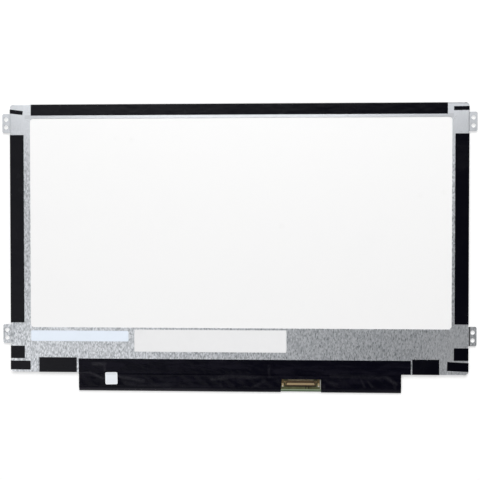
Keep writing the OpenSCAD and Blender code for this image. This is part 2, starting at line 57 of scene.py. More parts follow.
class Wires:
    """Adds nodes to one tree and joins them."""

    def __init__(self, tree):
        self.tree = tree

    def feed(self, socket, value):
        if isinstance(value, bpy.types.NodeSocket):
            self.tree.links.new(value, socket)
        elif socket.type == "RGBA":
            socket.default_value = (*value, 1)
        else:
            socket.default_value = value

    def add(self, kind, values=(), **settings):
        node = self.tree.nodes.new(kind)
        for name, value in settings.items():
            setattr(node, name, value)
        for socket, value in dict(values).items():
            self.feed(node.inputs[socket], value)
        return node

    def math(self, operation, first, second=0.0, clamp=False):
        return self.add("ShaderNodeMath", {0: first, 1: second},
                        operation=operation, use_clamp=clamp).outputs[0]

    def times(self, first, *others):
        for other in others:
            first = self.math("MULTIPLY", first, other)
        return first

    def vector(self, operation, first, second):
        return self.add("ShaderNodeVectorMath", {0: first, 1: second},
                        operation=operation).outputs[0]

    def measure(self, operation, first, second):
        """The one number that two places give, such as how far apart they are."""
        return self.add("ShaderNodeVectorMath", {0: first, 1: second},
                        operation=operation).outputs["Value"]

    def scaled(self, place, factor):
        return self.add("ShaderNodeVectorMath", {"Vector": place, "Scale": factor},
                        operation="SCALE").outputs[0]

    def span(self, value, low, high, to_low=0.0, to_high=1.0, smooth=False):
        return self.add("ShaderNodeMapRange", {0: value, 1: low, 2: high, 3: to_low, 4: to_high},
                        interpolation_type="SMOOTHSTEP" if smooth else "LINEAR").outputs[0]

    def band(self, value, low, high, soft):
        """1 between two edges, which are soft by this much to either side."""
        return self.times(self.span(value, low - soft, low + soft),
                          self.span(value, high - soft, high + soft, 1.0, 0.0))

    def blend(self, share, first, second, kind="MIX"):
        node = self.add("ShaderNodeMix", data_type="RGBA", blend_type=kind)
        colours = [s for s in node.inputs if s.type == "RGBA"]
        self.feed(node.inputs[0], share)
        self.feed(colours[0], first)
        self.feed(colours[1], second)
        return [s for s in node.outputs if s.type == "RGBA"][0]

    def tint(self, base, mask, share, colour):
        """Lays a colour over the base where the mask is 1, as strongly as the share says."""
        return self.blend(self.times(mask, share), base, colour)

    def noise(self, place, scale, detail=2.0, rough=0.5, bend=0.0):
        return self.add("ShaderNodeTexNoise", {"Vector": place, "Scale": scale, "Detail": detail,
                        "Roughness": rough, "Distortion": bend}).outputs[0]

    def stretch(self, place, across, along, up=1.0):
        return self.vector("MULTIPLY", place, (across, along, up))

    def effect(self, tree, **values):
        node = self.add("ShaderNodeGroup", node_tree=tree)
        for name, value in values.items():
            self.feed(node.inputs[name], value)
        return node.outputs

    def bump(self, height, microns, under=None):
        """The look of a relief this many microns high, over another one where it is given."""
        values = {"Height": height, "Distance": microns * MICRON, "Strength": 1.0}
        if under is not None:
            values["Normal"] = under
        return self.add("ShaderNodeBump", values).outputs[0]


class FinishWires(Wires):
    """The wires of one material. Its place is the piece's own place in millimetres."""

    def __init__(self, name, **plain):
        self.material = bpy.data.materials.new(name)
        self.material.use_nodes = True
        super().__init__(self.material.node_tree)
        self.shader = self.tree.nodes["Principled BSDF"].inputs
        for socket, value in plain.items():
            self.shader[socket.replace("_", " ")].default_value = value
        self.place = self.scaled(self.add("ShaderNodeTexCoord").outputs["Object"], 1 / MM)

    def haze(self, size, start, full, place=None):
        at = self.place if place is None else place
        return self.effect(HAZE, Place=at, Size=size, From=start, To=full)["Mask"]

    def grain(self, size):
        return self.effect(GRAIN, Place=self.place, Size=size)["Height"]

    def rub(self, length, amount):
        return self.effect(RUB, Place=self.place, Length=length, Amount=amount)["Mask"]

    def specks(self, spacing, radius):
        return self.effect(SPECKS, Place=self.place, Spacing=spacing, Radius=radius)["Mask"]

    def finished(self, colour, rough, normal):
        self.feed(self.shader["Base Color"], colour)
        self.feed(self.shader["Roughness"], rough)
        self.feed(self.shader["Normal"], normal)
        return self.material


def shared_effect(name, inputs, outputs):
    """Starts a node group. An input with no number of its own is a place."""
    tree = bpy.data.node_groups.new(name, "ShaderNodeTree")
    for label, start in inputs.items():
        kind = "NodeSocketVector" if start is None else "NodeSocketFloat"
        socket = tree.interface.new_socket(name=label, in_out="INPUT", socket_type=kind)
        if start is not None:
            socket.default_value = start
    for label in outputs:
        tree.interface.new_socket(name=label, in_out="OUTPUT", socket_type="NodeSocketFloat")
    w = Wires(tree)
    return w, w.add("NodeGroupInput").outputs, w.add("NodeGroupOutput").inputs


def spangle_effect():
    """Zinc spangle: small upright facets, each with its own tone and its own lean, and streaks."""
    w, given, out = shared_effect(
        "Spangle", {"Place": None, "Width": 0.9, "Length": 1.5}, ["Patch", "Streak", "Fleck", "Facet"])
    shape = w.add("ShaderNodeCombineXYZ", {0: given["Width"], 1: given["Length"], 2: 1.0}).outputs[0]
    place = w.vector("DIVIDE", given["Place"], shape)
    wobble = w.add("ShaderNodeTexNoise", {"Vector": place, "Scale": 1.3, "Detail": 1.0})
    shift = w.vector("SUBTRACT", wobble.outputs["Color"], (0.5, 0.5, 0.5))
    warped = w.vector("ADD", place, w.scaled(shift, 0.9))
    cells = w.add("ShaderNodeTexVoronoi", {"Vector": warped, "Scale": 1.0, "Randomness": 1.0})
    chance = w.add("ShaderNodeSeparateColor", {0: cells.outputs["Color"]}).outputs
    w.feed(out["Patch"], w.span(chance[2], 0.1, 0.9))
    w.feed(out["Streak"], w.span(w.noise(w.stretch(place, 0.8, 0.3), 1.0, 2.0, 0.6), 0.32, 0.68))
    w.feed(out["Fleck"], w.span(w.noise(w.stretch(place, 0.9, 0.5), 1.1, 1.0, 0.5), 0.54, 0.7, smooth=True))
    lean = w.vector("SUBTRACT", cells.outputs["Color"], (0.5, 0.5, 0.5))
    inside = w.vector("MULTIPLY", w.vector("SUBTRACT", warped, cells.outputs["Position"]), shape)
    flat = w.vector("MULTIPLY", inside, (1.0, 1.0, 0.0))
    w.feed(out["Facet"], w.measure("DOT_PRODUCT", flat, lean))
    return w.tree


def haze_effect():
    """Large soft smudges."""
    w, given, out = shared_effect("Haze", {"Place": None, "Size": 30.0, "From": 0.45, "To": 0.7}, ["Mask"])
    place = w.scaled(given["Place"], w.math("DIVIDE", 1.0, given["Size"]))
    w.feed(out["Mask"], w.span(w.noise(place, 1.0, 3.0, 0.55, 0.4), given["From"], given["To"], smooth=True))
    return w.tree


def grain_effect():
    """Fine even grain, for moulded resin, mask, tape and film."""
    w, given, out = shared_effect("Grain", {"Place": None, "Size": 0.3}, ["Height"])
    place = w.scaled(given["Place"], w.math("DIVIDE", 1.0, given["Size"]))
    w.feed(out["Height"], w.noise(place, 1.0, 3.0, 0.6))
    return w.tree


def rub_effect():
    """Thin straight rub marks in two leanings."""
    w, given, out = shared_effect("Rub marks", {"Place": None, "Length": 14.0, "Amount": 0.5}, ["Mask"])
    marks = []
    for lean in (0.35, -1.05):
        turned = w.add("ShaderNodeVectorRotate", {"Vector": given["Place"], "Angle": lean},
                       rotation_type="Z_AXIS").outputs[0]
        size = w.add("ShaderNodeCombineXYZ", {0: given["Length"], 1: 0.22, 2: 3.0}).outputs[0]
        marks.append(w.noise(w.vector("DIVIDE", turned, size), 1.0, 1.0, 0.4))
    both = w.math("MAXIMUM", *marks)
    edge = w.math("SUBTRACT", 0.82, w.times(given["Amount"], 0.2))
    w.feed(out["Mask"], w.span(both, edge, w.math("ADD", edge, 0.06), smooth=True))
    return w.tree


def speck_effect():
    """Scattered dust specks."""
    w, given, out = shared_effect("Specks", {"Place": None, "Spacing": 9.0, "Radius": 0.14}, ["Mask"])
    scale = w.math("DIVIDE", 1.0, given["Spacing"])
    cells = w.add("ShaderNodeTexVoronoi", {"Vector": w.stretch(given["Place"], 1, 1, 0), "Scale": scale})
    reach = w.times(given["Radius"], scale)
    w.feed(out["Mask"], w.span(cells.outputs["Distance"], w.times(reach, 0.5), reach, 1.0, 0.0))
    return w.tree


def fibre_effect():
    """Coated paper: a light fibre relief and a faint tone."""
    w, given, out = shared_effect("Paper fibre", {"Place": None, "Size": 0.5}, ["Height", "Tone"])
    place = w.scaled(given["Place"], w.math("DIVIDE", 1.0, given["Size"]))
    w.feed(out["Height"], w.noise(w.stretch(place, 1.0, 0.35), 1.0, 4.0, 0.65))
    w.feed(out["Tone"], w.noise(place, 0.09, 3.0, 0.6))
    return w.tree


SPANGLE = spangle_effect()
HAZE = haze_effect()
GRAIN = grain_effect()
RUB = rub_effect()
SPECKS = speck_effect()
FIBRE = fibre_effect()


def axes(w, place):
    """Across, along and up, as three numbers."""
    return w.add("ShaderNodeSeparateXYZ", {0: place}).outputs


def in_box(w, place, x0, x1, y0, y1, soft=0.05):
    """1 inside a rectangle, 0 outside it."""
    x, y = axes(w, place)[:2]
    return w.times(w.band(x, x0, x1, soft), w.band(y, y0, y1, soft))


def near_points(w, place, spots, radius):
    """1 at each of a few places, falling softly to 0 at the radius."""
    flat = w.stretch(place, 1, 1, 0)
    total = 0.0
    for x, y in spots:
        away = w.measure("DISTANCE", flat, (x, y, 0))
        total = w.math("MAXIMUM", total, w.span(away, 0, radius, 1, 0, smooth=True))
    return total


def near_line(w, place, start, end, width):
    """1 along a line between two places, falling softly to 0 at the width."""
    flat = w.stretch(place, 1, 1, 0)
    way = Vector((end[0] - start[0], end[1] - start[1], 0))
    gone = w.vector("SUBTRACT", flat, (*start, 0))
    along = w.measure("DOT_PRODUCT", gone, way / way.length_squared)
    foot = w.scaled(way, w.math("ADD", along, 0.0, clamp=True))
    return w.span(w.measure("DISTANCE", gone, foot), 0, width, 1, 0, smooth=True)


def tone_of(colour, share):
    """The colour made darker or lighter."""
    return [min(1, c * share) for c in colour]


# Finishes of the back frame, the tapes and the labels

def spangled_steel():
    """Zinc-coated sheet: plain along the top, spangled below. Painted shade darkens the folds, the window's
    upper rim and the upper right, and thickens the dark flecks towards the right; painted light brightens
    the lower right.
    """
    w = FinishWires("spangled_steel", Metallic=1.0)
    place = w.place
    spangle = w.effect(SPANGLE, Place=place, Width=0.66, Length=1.2)
    grain = w.grain(0.25)
    rub = w.rub(16.0, 0.35)
    x, y = axes(w, place)[:2]
    spangled = w.span(y, 36, 64, 1.0, 0.08)
    tone = w.times(w.span(spangle["Patch"], 0, 1, -0.5, 0.5), spangled)
    patchy = w.blend(w.math("ADD", tone, 0.5), (0.375, 0.395, 0.42), (0.73, 0.75, 0.785))
    streaked = w.tint(patchy, spangle["Streak"], 0.3, (0.66, 0.675, 0.7))
    # Dark spangle flecks whose number is painted shade: more of them towards the right, fewer at the far
    # right.
    shade_to_right = w.times(w.span(x, -60, 60, 0.6, 1.0), w.span(x, 110, 126, 1.0, 0.72))
    flecks_and_shade = w.times(spangle["Fleck"], spangled, shade_to_right)
    flecked = w.blend(flecks_and_shade, streaked, (0.2, 0.22, 0.235))
    # Painted shade over the upper right and painted light over the lower right.
    upper_right_shade = w.times(w.span(x, 60, 120), w.span(y, 30, 62))
    lower_right_light = w.times(w.span(x, 100, 124), w.span(y, -74, -36, 0.32, 0.0))
    shaded = w.tint(flecked, upper_right_shade, 0.3, (0.37, 0.38, 0.4))
    lit = w.blend(lower_right_light, shaded, (0.92, 0.93, 0.96))
    # Painted shadow in the fold of the lower right ear, and painted shade along the top fold at the right.
    ear_fold_shadow = in_box(w, place, SIDE + 0.35, SIDE + 1.05, -70, -45, 0.12)
    top_fold_shade = w.times(in_box(w, place, 110, SIDE, TOP - 0.6, TOP + 1, 0.25), 0.75)
    fold_shaded = w.blend(w.math("MAXIMUM", ear_fold_shadow, top_fold_shade), lit, (0.09, 0.09, 0.095))
    # Painted shade along the window's upper rim.
    window_rim_shade = in_box(w, place, -125, 125, TOP - 8.5, TOP - 6.2, 0.2)
    rim_shaded = w.tint(fold_shaded, window_rim_shade, 0.22, (0.2, 0.2, 0.205))
    rough = w.span(spangle["Patch"], 0, 1, 0.34, 0.28)
    facets = w.times(spangle["Facet"], spangled)
    return w.finished(
        colour=w.tint(rim_shaded, rub, 0.25, (0.8, 0.8, 0.8)),
        rough=w.math("ADD", rough, w.times(rub, -0.08)),
        normal=w.bump(facets, 30, w.bump(grain, 4)))


def tape_finish(name, shade, gloss):
    """Black tape with painted light: it turns a little greyer to the left."""
    w = FinishWires(name, Specular_IOR_Level=0.075)
    place = w.place
    haze = w.haze(18.0, 0.4, 0.75)
    specks = w.specks(11.0, 0.12)
    grain = w.grain(0.4)
    rub = w.rub(9.0, 0.2)
    # Painted light: the tape's base colour turns greyer towards the left.
    wear_and_painted_light = w.times(w.span(axes(w, place)[0], -125, 60, 1.0, 0.0), 0.0075)
    base = w.blend(wear_and_painted_light, (0, 0, 0), (1, 1, 1))
    hazed = w.blend(haze, (shade, shade, shade * 4), (shade * 2, shade * 2, shade * 5))
    dull = w.blend(1.0, base, hazed, "ADD")
    marked = w.tint(dull, rub, 0.05, (0.2, 0.2, 0.2))
    buckle = w.noise(w.stretch(place, 0.12, 0.3), 1.0, 2.0, 0.5)
    return w.finished(
        colour=w.tint(marked, specks, 0.25, (0.3, 0.3, 0.3)),
        rough=w.span(haze, 0, 1, gloss, gloss + 0.12),
        normal=w.bump(grain, 6, w.bump(buckle, 100)))


def label_finish(name, middle, rim, box, fade):
    """Bare label stock; box is its outline, where the colour of the rim fades in."""
    w = FinishWires(name, Specular_IOR_Level=0.4)
    place = w.place
    fibre = w.effect(FIBRE, Place=place, Size=0.5)
    haze = w.haze(22.0, 0.5, 0.8)
    specks = w.specks(13.0, 0.1)
    x0, x1, y0, y1 = box
    inner = in_box(w, place, x0 + fade, x1 - fade, y0 + fade, y1 - fade, fade)
    coloured = w.blend(inner, rim, middle)
    toned = w.blend(w.span(fibre["Tone"], 0.35, 0.7, 0, 0.25), coloured, tone_of(middle, 0.93))
    wear_and_painted_light = w.tint(toned, haze, 0.15, tone_of(middle, 0.88))
    return w.finished(
        colour=w.tint(wear_and_painted_light, specks, 0.2, (0.45, 0.45, 0.43)),
        rough=w.span(fibre["Height"], 0, 1, 0.42, 0.58),
        normal=w.bump(fibre["Height"], 8))


def film_finish():
    """Black film with painted highlights: it turns paler along its creases and round the board's lower edge.
    """
    w = FinishWires("cover_film_black", Specular_IOR_Level=0.085)
    place = w.place
    haze = w.haze(5.0, 0.4, 0.75, w.stretch(place, 0.35, 1.6))
    specks = w.specks(8.0, 0.12)
    grain = w.grain(0.5)
    rub = w.rub(7.0, 0.3)
    x, y, z = axes(w, place)[:3]
    dull = w.blend(haze, (0.0004, 0.0003, 0.0034), (0.0036, 0.003, 0.0078))
    # Painted highlight where the film bends round the board's lower edge, stronger at the left.
    low_bend_highlight = w.times(w.span(y, -91.4, -88.7, 1.0, 0.0, smooth=True), w.span(z, 0.9, 1.3))
    bend_highlight = w.times(low_bend_highlight, w.span(x, -30, 5, 1.0, 0.35))
    # Painted highlights along the creases, broken up by noise.
    wear_and_painted_light = 0.0
    for start, end, height, width in CREASES:
        pale = near_line(w, place, start, end, width * CREASE_REACH)
        wear_and_painted_light = w.math("MAXIMUM", wear_and_painted_light, w.times(pale, height * CREASE_SHOW))
    broken_highlights = w.times(wear_and_painted_light, w.span(w.noise(place, 0.8, 3.0, 0.6), 0.3, 0.7, 0.2, 1.0))
    highlighted = w.blend(w.math("MAXIMUM", broken_highlights, bend_highlight), dull, (0.034, 0.033, 0.04))
    marked = w.tint(highlighted, rub, 0.04, (0.18, 0.17, 0.18))
    buckle = w.noise(w.stretch(place, 0.25, 0.35), 1.0, 3.0, 0.5)
    return w.finished(
        colour=w.tint(marked, specks, 0.3, (0.3, 0.3, 0.3)),
        rough=w.span(haze, 0, 1, 0.22, 0.34),
        normal=w.bump(grain, 4, w.bump(buckle, 160)))


def reflector_finish():
    """White sheet behind the window, with a few faint smudges."""
    w = FinishWires("reflector_white", Specular_IOR_Level=0.35)
    place = w.place
    haze = w.haze(48.0, 0.5, 0.85)
    grain = w.grain(0.6)
    specks = w.specks(31.0, 0.16)
    spots = [(-70.7, 57.2), (-61.9, 56.2), (25.9, 5.5), (105.9, 23.4), (119.6, 25)]
    smudges = near_points(w, place, spots, 2.6)
    spotted = w.times(smudges, w.span(w.noise(place, 0.6, 3.0, 0.6), 0.35, 0.7))
    hazed = w.tint((0.927, 0.926, 0.925), haze, 0.5, (0.9, 0.9, 0.902))
    smudged = w.tint(hazed, spotted, 0.5, (0.84, 0.84, 0.83))
    return w.finished(
        colour=w.tint(smudged, specks, 0.35, (0.5, 0.5, 0.48)),
        rough=w.span(haze, 0, 1, 0.38, 0.5),
        normal=w.bump(grain, 3))


def resin_finish(name, light, dark, rough=0.5, size=0.35):
    """Moulded resin with a fine grain and faint flow marks."""
    w = FinishWires(name, Specular_IOR_Level=0.4)
    haze = w.haze(7.0, 0.4, 0.7)
    grain = w.grain(size)
    specks = w.specks(6.0, 0.07)
    flowed = w.blend(haze, light, dark)
    return w.finished(
        colour=w.tint(flowed, specks, 0.3, tone_of(dark, 0.5)),
        rough=w.span(grain, 0.2, 0.8, rough - 0.06, rough + 0.08),
        normal=w.bump(grain, 6))


def metal_finish(name, light, dark, rough=0.3, size=0.5):
    """Plated or drawn metal: tarnish in patches and fine marks."""
    w = FinishWires(name, Metallic=1.0)
    haze = w.haze(size * 4, 0.35, 0.7)
    grain = w.grain(size * 0.4)
    rub = w.rub(3.0, 0.6)
    toned = w.blend(haze, light, dark)
    return w.finished(
        colour=w.tint(toned, rub, 0.3, tone_of(light, 1.25)),
        rough=w.span(haze, 0, 1, rough, rough + 0.14),
        normal=w.bump(grain, 4))


def shell_finish():
    """Tan shell of the display connector: bright band and lug tips, darker at the band's ends and the lugs'
    backs.
    """
    w = FinishWires("shell_metal_tan", Metallic=1.0)
    place = w.place
    x, y = axes(w, place)[:2]
    haze = w.haze(3.2, 0.35, 0.7)
    grain = w.grain(0.3)
    rub = w.rub(3.0, 0.6)
    tan = w.blend(haze, (0.5, 0.385, 0.225), (0.4, 0.3, 0.165))
    off_middle = w.math("ABSOLUTE", w.math("SUBTRACT", x, CONNECTOR_X))
    band_half, lug_start = 8.0, 9.3
    band_ends = w.band(off_middle, band_half, lug_start, 0.1)
    lug_backs = w.times(w.span(off_middle, lug_start - 0.1, lug_start + 0.1), w.span(y, -86.5, -86.0))
    # Darker at the band's ends and at the lugs' backs.
    darkened = w.tint(tan, w.math("MAXIMUM", band_ends, lug_backs), 0.85, (0.075, 0.05, 0.022))
    return w.finished(
        colour=w.tint(darkened, rub, 0.3, (0.62, 0.51, 0.35)),
        rough=w.span(haze, 0, 1, 0.3, 0.44),
        normal=w.bump(grain, 4))


# Finishes of the board and the parts on it

def board_finish():
    """Green solder mask over tracks, a pale line above the lower edge, a few marks, and a painted shadow
    below the connector's mouth.
    """
    w = FinishWires("board_green_mask", Specular_IOR_Level=0.3)
    place = w.place
    y, z = axes(w, place)[1:3]
    grain = w.grain(0.3)
    haze = w.haze(5.0, 0.4, 0.7)
    lanes = w.add("ShaderNodeTexBrick", {
        "Vector": w.stretch(place, 1, 1, 0), "Scale": 0.8, "Mortar Size": 0.12, "Mortar Smooth": 0.1,
        "Brick Width": 2.6, "Row Height": 0.35}, offset=0.5).outputs["Fac"]
    tracks = w.times(lanes, w.span(w.noise(place, 0.35, 2.0, 0.5), 0.4, 0.6))
    green = w.blend(haze, (0.05, 0.052, 0.017), (0.075, 0.082, 0.032))
    tracked = w.tint(green, tracks, 0.4, (0.12, 0.13, 0.06))
    line_low, line_high = -90.3, -89.8
    below = w.span(y, line_low, line_low + 0.1, 1.0, 0.0)
    lowered = w.tint(tracked, below, 0.85, (0.062, 0.092, 0.058))
    lined = w.tint(lowered, w.band(y, line_low, line_high, 0.05), 0.9, (0.26, 0.33, 0.22))
    # Painted shadow on the board below the connector's mouth.
    connector_shadow = in_box(w, place, CONNECTOR_X - 9, CONNECTOR_X + 9, -88.35, -87.6, 0.15)
    marked = w.tint(lined, connector_shadow, 0.85, (0.022, 0.015, 0.003))
    for offset in (2.95, 4.7):
        middle = CONNECTOR_X + offset
        tick = in_box(w, place, middle - 0.3, middle + 0.3, -89.7, -88.0)
        marked = w.tint(marked, tick, 0.9, (0.012, 0.014, 0.008))
    border = in_box(w, place, 48.5, 48.95, -89.6, -83.6)
    marked = w.tint(marked, border, 0.85, (0.42, 0.42, 0.4))
    cut_edge = w.band(z, 0.62, 1.18, 0.02)
    edged = w.tint(marked, cut_edge, 0.8, (0.42, 0.38, 0.2))
    front = w.span(z, 0.56, 0.6, 1.0, 0.0)
    return w.finished(
        colour=w.tint(edged, front, 0.2, (0.05, 0.09, 0.05)),
        rough=w.span(haze, 0, 1, 0.26, 0.38),
        normal=w.bump(tracks, 10, w.bump(grain, 5)))


def chip_finish(name, middle, half):
    """Moulded chip with a corner dot; what lies outside the body is its tinned feet."""
    w = FinishWires(name, Specular_IOR_Level=0.3)
    place = w.place
    grain = w.grain(0.12)
    haze = w.haze(3.0, 0.4, 0.7)
    x, y = middle
    dx, dy = half[0] + 0.005, half[1] + 0.005
    body = in_box(w, place, x - dx, x + dx, y - dy, y + dy, 0.004)
    dot = near_points(w, place, [(x - half[0] + 0.6, y + half[1] - 0.6)], 0.45)
    dark = w.blend(haze, (0.012, 0.012, 0.013), (0.022, 0.022, 0.023))
    dotted = w.blend(w.span(dot, 0.3, 0.4, 0, 0.5), dark, (0.05, 0.05, 0.05))
    w.feed(w.shader["Metallic"], w.span(body, 0, 1, 1, 0))
    return w.finished(
        colour=w.blend(body, (0.62, 0.62, 0.6), dotted),
        rough=w.span(grain, 0.2, 0.8, 0.4, 0.6),
        normal=w.bump(grain, 10))


def cable_finish(name, pitch, upright):
    """Amber film with copper tracks showing through it."""
    w = FinishWires(name, Specular_IOR_Level=0.5)
    place = w.place
    x, y = axes(w, place)[:2]
    across = x if upright else y
    tracks = w.span(w.math("PINGPONG", across, pitch / 2), pitch * 0.2, pitch * 0.27)
    haze = w.haze(6.0, 0.4, 0.7)
    grain = w.grain(0.3)
    amber = w.blend(haze, (0.42, 0.17, 0.03), (0.5, 0.22, 0.05))
    return w.finished(
        colour=w.tint(amber, tracks, 0.6, (0.6, 0.32, 0.12)),
        rough=w.span(haze, 0, 1, 0.22, 0.32),
        normal=w.bump(tracks, 10, w.bump(grain, 4)))


def terminal_finish():
    return metal_finish("tinned_ends", (0.72, 0.71, 0.68), (0.5, 0.5, 0.48), 0.28, 0.3)


# Finishes of the display and the backlight inside

def polarizer_finish(name, shade, rough):
    """Anti-glare film over the picture: it shows the dark border round the active area."""
    w = FinishWires(name, Specular_IOR_Level=0.45)
    place = w.place
    picture = in_box(w, place, *ACTIVE_AREA, 0.06)
    grain = w.grain(0.09)
    haze = w.haze(40.0, 0.4, 0.8)
    specks = w.specks(26.0, 0.12)
    x = axes(w, place)[0]
    stripes = w.span(w.math("PINGPONG", x, PIXEL_PITCH / 2), 0.0, PIXEL_PITCH / 2)
    dots = w.tint((shade, shade * 1.04, shade * 1.15), stripes, 0.4, (shade * 1.5, shade * 1.6, shade * 1.9))
    bordered = w.blend(picture, (shade * 0.35, shade * 0.35, shade * 0.4), dots)
    hazed = w.tint(bordered, haze, 0.3, (shade * 1.9, shade * 1.9, shade * 2))
    return w.finished(
        colour=w.tint(hazed, specks, 0.3, (0.4, 0.4, 0.4)),
        rough=w.span(haze, 0, 1, rough, rough + 0.08),
        normal=w.bump(grain, 3))


NO_TRACKS = -200


def cell_glass_finish(name, colour, tracks_below):
    """Glass of the cell: black border round the picture, fine tracks on the ledge below a level."""
    w = FinishWires(name, IOR=1.52, Specular_IOR_Level=0.6)
    place = w.place
    picture = in_box(w, place, *ACTIVE_AREA)
    x, y = axes(w, place)[:2]
    haze = w.haze(30.0, 0.4, 0.7)
    grain = w.grain(0.8)
    ledge = w.span(y, tracks_below - 0.1, tracks_below + 0.1, 1.0, 0.0)
    tracks = w.times(w.span(w.math("PINGPONG", x, 0.15), 0.05, 0.08), ledge)
    dark = w.blend(picture, (0.006, 0.006, 0.007), colour)
    tracked = w.tint(dark, tracks, 0.5, (0.35, 0.36, 0.34))
    return w.finished(
        colour=w.tint(tracked, haze, 0.2, tone_of(colour, 1.4)),
        rough=w.span(grain, 0, 1, 0.04, 0.09),
        normal=w.bump(tracks, 4))


def prism_finish(name, across):
    """Prism sheet: fine grooves that run along or across the picture."""
    w = FinishWires(name, IOR=1.49, Transmission_Weight=0.55)
    place = w.place
    x, y = axes(w, place)[:2]
    groove = w.math("PINGPONG", x if across else y, 0.12)
    haze = w.haze(30.0, 0.4, 0.7)
    return w.finished(
        colour=w.blend(haze, (0.84, 0.87, 0.89), (0.9, 0.92, 0.93)),
        rough=w.span(haze, 0, 1, 0.2, 0.28),
        normal=w.bump(groove, 400))


def diffuser_finish():
    """Milky diffuser film with a fine matt grain."""
    w = FinishWires("diffuser_film", IOR=1.49, Transmission_Weight=0.3)
    grain = w.grain(0.12)
    haze = w.haze(40.0, 0.4, 0.7)
    return w.finished(
        colour=w.blend(haze, (0.92, 0.92, 0.91), (0.88, 0.89, 0.89)),
        rough=w.span(grain, 0, 1, 0.45, 0.6),
        normal=w.bump(grain, 8))


def guide_finish():
    """Clear light guide with rows of tiny pits that grow away from the diodes."""
    w = FinishWires("light_guide_clear", IOR=1.49, Transmission_Weight=0.8)
    place = w.place
    cells = w.add("ShaderNodeTexVoronoi", {"Vector": w.stretch(place, 1, 1, 0), "Scale": 1.4,
                  "Randomness": 0.15}).outputs["Distance"]
    reach = w.span(axes(w, place)[1], -70, 72, 0.12, 0.34)
    pits = w.math("LESS_THAN", cells, reach)
    return w.finished(
        colour=w.tint((0.86, 0.93, 0.95), pits, 0.7, (0.97, 0.98, 0.98)),
        rough=w.span(pits, 0, 1, 0.04, 0.5),
        normal=w.bump(pits, 10))


def silicon_finish():
    """Bare silicon with faint rows of cells."""
    w = FinishWires("driver_silicon", Metallic=0.7)
    place = w.place
    rows = w.span(w.math("PINGPONG", axes(w, place)[0], 0.2), 0.08, 0.14)
    haze = w.haze(4.0, 0.4, 0.7)
    base = w.blend(haze, (0.13, 0.14, 0.16), (0.2, 0.21, 0.24))
    return w.finished(
        colour=w.tint(base, rows, 0.3, (0.34, 0.33, 0.28)),
        rough=w.span(haze, 0, 1, 0.12, 0.22),
        normal=w.bump(rows, 3))


def glow_finish():
    """Yellow phosphor in a diode's window."""
    w = FinishWires("diode_phosphor", Specular_IOR_Level=0.5)
    grain = w.grain(0.1)
    return w.finished(
        colour=w.blend(grain, (0.75, 0.55, 0.06), (0.9, 0.72, 0.14)),
        rough=w.span(grain, 0, 1, 0.2, 0.35),
        normal=w.bump(grain, 10))


def paint(material, *names):
    for name in names:
        data = nodes[name].data
        data.materials.clear()
        data.materials.append(material)


TAPES = [n for n in nodes if n.endswith("_tape") and n != "rim_tape"]
paint(spangled_steel(), "back_frame")
paint(tape_finish("edge_tape_black", 0.0008, 0.2), *TAPES)
paint(tape_finish("rim_tape_black", 0.006, 0.6), "rim_tape")
paint(label_finish("long_label_stock", (0.815, 0.885, 0.98), (0.76, 0.825, 0.925),
                   (-121.8, -63.8, -62.3, -56), 0.35), "long_label")
paint(label_finish("main_label_stock", (0.86, 0.86, 0.867), (0.8, 0.8, 0.81),
                   (-60.4, 28.95, -68.25, -55.2), 0.25), "main_label")
paint(label_finish("square_label_stock", (0.84, 0.87, 0.915), (0.9, 0.92, 0.95),
                   (-77.7, -70.5, -87.65, -80.45), 0.5), "square_label")
paint(reflector_finish(), "reflector_sheet")
paint(resin_finish("frame_resin_white", (0.86, 0.86, 0.845), (0.8, 0.8, 0.785)), "mould_frame")
paint(board_finish(), "control_board")
paint(resin_finish("connector_resin_brown", (0.045, 0.022, 0.003), (0.028, 0.013, 0.002), 0.4, 0.15),
      "display_connector_housing")
paint(resin_finish("lever_resin_black", (0.02, 0.019, 0.018), (0.012, 0.012, 0.012), 0.4, 0.15),
      "backlight_connector_lever")
paint(resin_finish("tail_connector_resin", (0.78, 0.74, 0.64), (0.7, 0.67, 0.58), 0.45, 0.15),
      "backlight_connector_housing")
paint(shell_finish(), "display_connector_shell")
paint(metal_finish("contact_tinned", (0.4, 0.33, 0.22), (0.26, 0.21, 0.14), 0.3, 0.3),
      "display_connector_contacts")
paint(chip_finish("timing_controller_resin", (-5, -86.025), (3.5, 3.5)), "timing_controller")
paint(chip_finish("power_chip_resin", (-28, -85.525), (2, 2)), "power_chip")
paint(chip_finish("backlight_driver_resin", (-75, -85.525), (2, 2)), "backlight_driver")
paint(chip_finish("memory_chip_resin", (8, -85.025), (1.5, 1)), "memory_chip")
paint(resin_finish("resistor_black", (0.018, 0.018, 0.02), (0.012, 0.012, 0.013), 0.3, 0.1),
      "board_resistors")
paint(resin_finish("capacitor_ceramic", (0.36, 0.24, 0.13), (0.3, 0.19, 0.1), 0.35, 0.12),
      "board_capacitors")
paint(resin_finish("ferrite_grey", (0.06, 0.06, 0.063), (0.04, 0.04, 0.042), 0.6, 0.2), "power_inductors")
paint(cable_finish("panel_cable_film", 0.24, True), "panel_flex_cables")
paint(cable_finish("backlight_strip_film", 1.1, False), "backlight_flex")
paint(resin_finish("diode_body_white", (0.85, 0.83, 0.74), (0.8, 0.77, 0.66), 0.4, 0.2), "backlight_leds")
paint(polarizer_finish("front_polarizer_film", 0.012, 0.32), "front_polarizer")
paint(polarizer_finish("rear_polarizer_film", 0.02, 0.1), "rear_polarizer")
paint(cell_glass_finish("filter_glass_dark", (0.012, 0.014, 0.016), NO_TRACKS), "color_filter_glass")
paint(cell_glass_finish("transistor_glass_dark", (0.03, 0.035, 0.034), -73.2), "transistor_glass")
paint(silicon_finish(), "driver_chips")
paint(prism_finish("prism_film_upright", True), "upper_prism_sheet")
paint(prism_finish("prism_film_level", False), "lower_prism_sheet")
paint(diffuser_finish(), "diffuser_sheet")
paint(guide_finish(), "light_guide_plate")


# Mesh helpers

